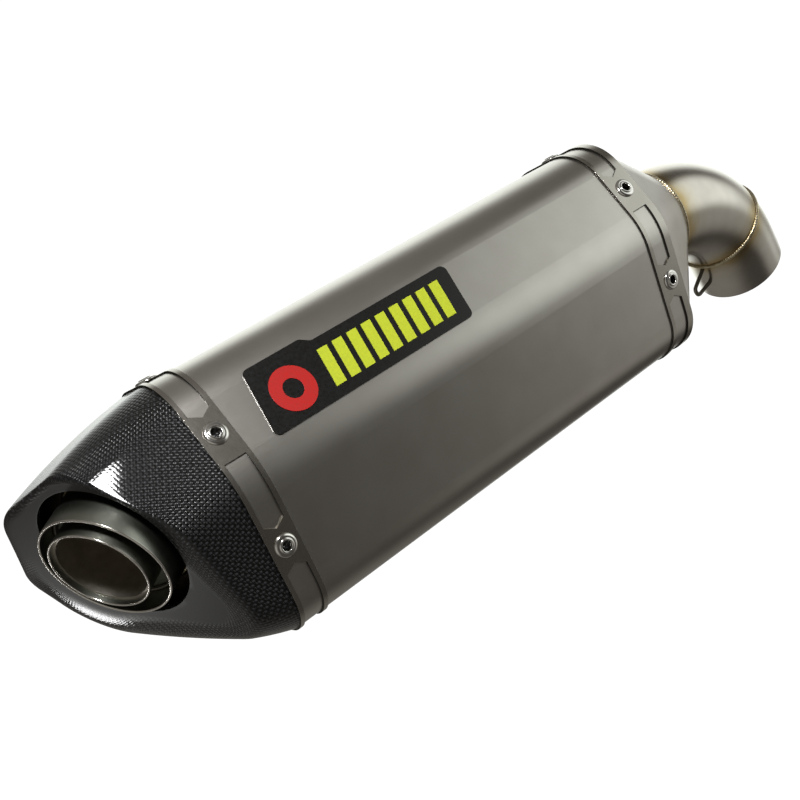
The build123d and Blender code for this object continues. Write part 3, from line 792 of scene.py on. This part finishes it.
def buildTube(name):
    tube = tubes[name]
    centre = rimCentre + outletRise * tube["rise"] + outletAxis * tube["proud"]
    shape = bmesh.new()
    profile = lipProfile(tube["radius"], tube["wall"], tube["length"], tube["lip"])
    rings = []
    for radius, depth in profile:
        ring = []
        for step in range(tubes["steps"]):
            angle = math.tau * step / tubes["steps"]
            spoke = outletLevel * math.cos(angle) + outletRise * math.sin(angle)
            ring.append(shape.verts.new((centre + spoke * radius + outletAxis * depth) * mm))
        rings.append(ring)
    for first, second in zip(rings, rings[1:] + rings[:1]):
        for i in range(tubes["steps"]):
            j = (i + 1) % tubes["steps"]
            shape.faces.new((first[i], first[j], second[j], second[i])).smooth = True
    bmesh.ops.recalc_face_normals(shape, faces=shape.faces)
    mesh = bpy.data.meshes.new(name)
    shape.to_mesh(mesh)
    shape.free()
    mesh.set_sharp_from_angle(angle=sharpAngle)
    for finish in (tubeSteel, paintedHighlightRim):
        mesh.materials.append(finish)
    # the lip takes the rim finish, a lighter tone that paints its highlight
    lipDepth = (centre - outletAxis * tube["lip"]).dot(outletAxis) * mm
    for face in mesh.polygons:
        face.material_index = int(face.center.dot(outletAxis) > lipDepth)
    placePiece(name, mesh, tube["body"], tube["node"])


buildTube("outletTube")
buildTube("noiseInsertTube")
print("stage: tubes")


# bands and badge: the CAD shapes with their cut edges eased

bandFinishes = (strapTitanium, paintedShadeWall, paintedHighlightRim)
eased = {
    # CAD node: piece, width of the rounding in millimetres, finishes, slot
    "outlet_strap": ("outletBand", 0.28, bandFinishes, "strap_titanium"),
    "inlet_strap": ("inletBand", 0.28, bandFinishes, "strap_titanium"),
    "badge_plate": ("badgePlate", 0.12, (blackEnamel,) * 3, "badge_black"),
    "badge_disc": ("badgeRing", 0.08, (redEnamel,) * 3, "badge_red"),
}
easing = {
    "joinWithin": 1e-6,
    "flatWithin": 0.02,  # degrees
    "sharpBeyond": 40,  # degrees
    "wallTilt": 0.4,
    "steps": 2,
}
face, wall, rim = range(3)  # the order of each piece's finishes


def easeEdges(node, name, width, finishes, slot):
    # a copy with rounded edges; walls across the length take a dark painted shade, and the rounded rims their
    # own finish
    shape = bmesh.new()
    shape.from_mesh(nodes[node].data)
    bmesh.ops.remove_doubles(shape, verts=shape.verts, dist=easing["joinWithin"])
    bmesh.ops.dissolve_limit(shape, angle_limit=math.radians(easing["flatWithin"]),
                             verts=shape.verts, edges=shape.edges)
    for side in shape.faces:
        side.material_index = wall if abs(side.normal.x) > easing["wallTilt"] else face
    sharp = [edge for edge in shape.edges
             if edge.is_manifold and edge.calc_face_angle() > math.radians(easing["sharpBeyond"])]
    bmesh.ops.bevel(shape, geom=sharp, offset=width * mm, offset_type="OFFSET", segments=easing["steps"],
                    profile=0.5, affect="EDGES", clamp_overlap=True, material=rim)
    ends = min(v.co.x for v in shape.verts), max(v.co.x for v in shape.verts)
    for side in shape.faces:
        side.smooth = True
        x = side.calc_center_median().x
        # only the rims at the two ends take the lighter painted highlight; those inside the windows take the
        # walls' painted shade
        if side.material_index == rim and min(x - ends[0], ends[1] - x) > width * mm:
            side.material_index = wall
    mesh = bpy.data.meshes.new(name)
    shape.to_mesh(mesh)
    shape.free()
    for finish in finishes:
        mesh.materials.append(finish)
    holder = bpy.data.objects.new(name, mesh)
    scene.collection.objects.link(holder)
    even = holder.modifiers.new("evenShading", "WEIGHTED_NORMAL")
    even.keep_sharp = False
    placePiece(name, plainMesh(holder, name), "silencer", node)


for node, settings in eased.items():
    easeEdges(node, *settings)
print("stage: bands and badge")


# rivets and weld beads by Geometry Nodes, standing on points that carry their direction

def newNodesTree(name, inputs):
    # whole numbers become whole-number inputs
    tree = bpy.data.node_groups.new(name, "GeometryNodeTree")
    tree.interface.new_socket("Geometry", in_out="INPUT", socket_type="NodeSocketGeometry")
    for label, value in inputs.items():
        kind = "NodeSocketInt" if isinstance(value, int) else "NodeSocketFloat"
        tree.interface.new_socket(label, in_out="INPUT", socket_type=kind).default_value = value
    tree.interface.new_socket("Geometry", in_out="OUTPUT", socket_type="NodeSocketGeometry")
    return tree, addNode(tree, "NodeGroupInput")


def standOnPoints(tree, points, shape, finish):
    # the shape on every point, its Z along the point's aim, then real faces with one material
    aim = addNode(tree, "GeometryNodeInputNamedAttribute", {"Name": "aim"}, data_type="FLOAT_VECTOR")
    turned = addNode(tree, "FunctionNodeAlignRotationToVector", {
        "Vector": aim.outputs["Attribute"]}, axis="Z")
    stood = addNode(tree, "GeometryNodeInstanceOnPoints", {
        "Points": points, "Instance": shape, "Rotation": turned.outputs[0]})
    real = addNode(tree, "GeometryNodeRealizeInstances", {"Geometry": stood.outputs[0]})
    smooth = addNode(tree, "GeometryNodeSetShadeSmooth", {"Geometry": real.outputs[0]})
    coloured = addNode(tree, "GeometryNodeSetMaterial", {"Geometry": smooth.outputs[0], "Material": finish})
    addNode(tree, "NodeGroupOutput", {"Geometry": coloured.outputs[0]})


def growOn(name, places, tree, inputs):
    # run the tree on points with directions, and give back one plain mesh
    mesh = bpy.data.meshes.new(name)
    mesh.from_pydata([place * mm for place, _ in places], [], [])
    aims = mesh.attributes.new("aim", "FLOAT_VECTOR", "POINT")
    for i, (_, aim) in enumerate(places):
        aims.data[i].vector = aim
    holder = bpy.data.objects.new(name, mesh)
    scene.collection.objects.link(holder)
    grower = holder.modifiers.new("grow", "NODES")
    grower.node_group = tree
    for item in tree.interface.items_tree:
        if item.in_out == "INPUT" and item.name in inputs:
            grower[item.identifier] = inputs[item.name]
    return plainMesh(holder, name)


def unitSheet(tree, columns, rows):
    # a sheet that is bent into a turned shape: X runs round the profile, Y round the axis
    sheet = addNode(tree, "GeometryNodeMeshGrid", {
        "Size X": 1.0, "Size Y": 1.0, "Vertices X": columns, "Vertices Y": rows})
    spot = addNode(tree, "GeometryNodeInputPosition").outputs[0]
    split = addNode(tree, "ShaderNodeSeparateXYZ", {0: spot})
    along = addNode(tree, "ShaderNodeMath", {0: split.outputs["X"], 1: 0.5}).outputs[0]
    turn = addNode(tree, "ShaderNodeMath", {0: split.outputs["Y"], 1: 0.5}).outputs[0]
    return sheet.outputs["Mesh"], along, turn


def bendSheet(tree, sheet, radius, height, turn):
    # the sheet rolled about Z at a radius and a height, with its seams closed
    angle = addNode(tree, "ShaderNodeMath", {0: turn, 1: math.tau}, operation="MULTIPLY").outputs[0]
    spot = []
    for part in ("COSINE", "SINE"):
        share = addNode(tree, "ShaderNodeMath", {0: angle}, operation=part).outputs[0]
        spot.append(addNode(tree, "ShaderNodeMath", {0: share, 1: radius}, operation="MULTIPLY").outputs[0])
    place = addNode(tree, "ShaderNodeCombineXYZ", {"X": spot[0], "Y": spot[1], "Z": height})
    bent = addNode(tree, "GeometryNodeSetPosition", {"Geometry": sheet, "Position": place.outputs[0]})
    closed = addNode(tree, "GeometryNodeMergeByDistance", {"Geometry": bent.outputs[0], "Distance": 1e-6})
    return closed.outputs[0]


def fillCurve(curve, values):
    # evenly spaced values, with a straight run between neighbours
    line = curve.mapping.curves[0]
    curve.mapping.use_clip = False
    last = len(values) - 1
    line.points[0].location = (0, values[0])
    line.points[1].location = (1, values[last])
    for i in range(1, last):
        line.points.new(i / last, values[i])
    for point in line.points:
        point.handle_type = "VECTOR"
    curve.mapping.update()


rivet = {
    # radius and height of the outline in millimetres, from the foot of the bore round to it again
    "outline": [
        (2.2, -5.5), (2.2, -1.0), (2.2, 0.9), (2.32, 1.35), (2.6, 1.5), (2.95, 1.48), (3.2, 1.28),
        (3.32, 1.08), (3.55, 1.02), (3.9, 1.05), (4.3, 1.0), (4.75, 0.8), (5.1, 0.5), (5.2, 0.22), (5.2, 0.0),
        (3.1, 0.0), (3.1, -4.1), (4.1, -4.1), (4.1, -5.5), (2.2, -5.5),
    ],
    "scale": 10.0,  # the outline is divided by this to stay small in its curve
    "around": 40,
    "bandHeight": 0.9,
    "outletX": -129.25,
    "inletX": 128.05,
}


def flatMiddles():
    # the middle of each straight stretch of the section, and which way it faces
    corners, radii = sectionCorners(0, 0)
    ends = []
    for i, here in enumerate(corners):
        first = (here - corners[i - 1]).normalized()
        second = (corners[(i + 1) % 6] - here).normalized()
        reach = radii[i] * math.tan(first.angle(second) / 2)
        ends.append((here - first * reach, here + second * reach))
    middles = []
    for i in range(6):
        start, finish = ends[i][1], ends[(i + 1) % 6][0]
        run = (finish - start).normalized()
        out = Vector((-run.y, run.x))
        middle = (start + finish) / 2
        middles.append((middle, out if out.dot(middle) > 0 else -out))
    return middles


def rivetTree(sizes):
    # one hollow rivet for each point: the outline turned about Z
    tree, inputs = newNodesTree("rivetRow", sizes)
    sheet, along, turn = unitSheet(tree, inputs.outputs["Outline Points"], inputs.outputs["Around"])
    reached = []
    for k in (0, 1):
        curve = addNode(tree, "ShaderNodeFloatCurve", {"Value": along})
        fillCurve(curve, [point[k] / rivet["scale"] for point in rivet["outline"]])
        reached.append(addNode(tree, "ShaderNodeMath", {
            0: curve.outputs[0], 1: rivet["scale"] * mm}, operation="MULTIPLY").outputs[0])
    standOnPoints(tree, inputs.outputs["Geometry"], bendSheet(tree, sheet, *reached, turn), brightSteel)
    return tree


rivetSizes = {"Around": rivet["around"], "Outline Points": len(rivet["outline"])}
rivetRow = rivetTree(rivetSizes)
for name, node, x in (("outletRivets", "outlet_rivets", rivet["outletX"]),
                      ("inletRivets", "inlet_rivets", rivet["inletX"])):
    places = []
    for middle, out in flatMiddles():
        aim = Vector((0, out.x, out.y))
        places.append((Vector((x, middle.x, middle.y)) + aim * rivet["bandHeight"], aim))
    placePiece(name, growOn(name, places, rivetRow, rivetSizes), "silencer", node)
print("stage: rivets")


ripples, pointsPerRipple = 112, 6
weld = {
    "Ring Radius": pipe["radius"],
    "Bead Radius": 1.35 * mm,
    "Ripples": ripples,
    "Ripple Depth": 0.22 * mm,
    "Bow": 0.55,
    "Points Round": 13,
    "Points Along": ripples * pointsPerRipple + 1,
}


def weldTree():
    # a round bead about Z whose surface steps like laid coins, bowed across its width
    tree, inputs = newNodesTree("weldRipple", weld)
    sheet, along, turn = unitSheet(tree, inputs.outputs["Points Round"], inputs.outputs["Points Along"])
    around = addNode(tree, "ShaderNodeMath", {0: along, 1: math.tau}, operation="MULTIPLY").outputs[0]
    outwards, sideways = [
        addNode(tree, "ShaderNodeMath", {0: around}, operation=part).outputs[0]
        for part in ("COSINE", "SINE")]
    count = addNode(tree, "ShaderNodeMath", {0: turn, 1: inputs.outputs["Ripples"]}, operation="MULTIPLY")
    bow = addNode(tree, "ShaderNodeMath", {0: sideways, 1: sideways}, operation="MULTIPLY")
    lag = addNode(tree, "ShaderNodeMath", {0: bow.outputs[0], 1: inputs.outputs["Bow"], 2: count.outputs[0]},
                  operation="MULTIPLY_ADD")
    step = addNode(tree, "ShaderNodeMath", {0: lag.outputs[0]}, operation="FRACT")
    dip = addNode(tree, "ShaderNodeMath", {0: step.outputs[0], 1: inputs.outputs["Ripple Depth"]},
                  operation="MULTIPLY")
    swell = addNode(tree, "ShaderNodeMath", {0: inputs.outputs["Bead Radius"], 1: dip.outputs[0]},
                    operation="SUBTRACT").outputs[0]
    radius = addNode(tree, "ShaderNodeMath", {0: outwards, 1: swell, 2: inputs.outputs["Ring Radius"]},
                     operation="MULTIPLY_ADD").outputs[0]
    height = addNode(tree, "ShaderNodeMath", {0: sideways, 1: swell}, operation="MULTIPLY").outputs[0]
    standOnPoints(tree, inputs.outputs["Geometry"], bendSheet(tree, sheet, radius, height, turn), weldStraw)
    return tree


weldRipple = weldTree()
for name, node, angle in zip(("coneWeldBead", "elbowWeldBead"), ("cone_weld", "elbow_weld"), pipe["seams"]):
    centre, along, _ = pipePlane(angle)
    placePiece(name, growOn(name, [(centre / mm, along)], weldRipple, weld), "silencer", node)
print("stage: welds")
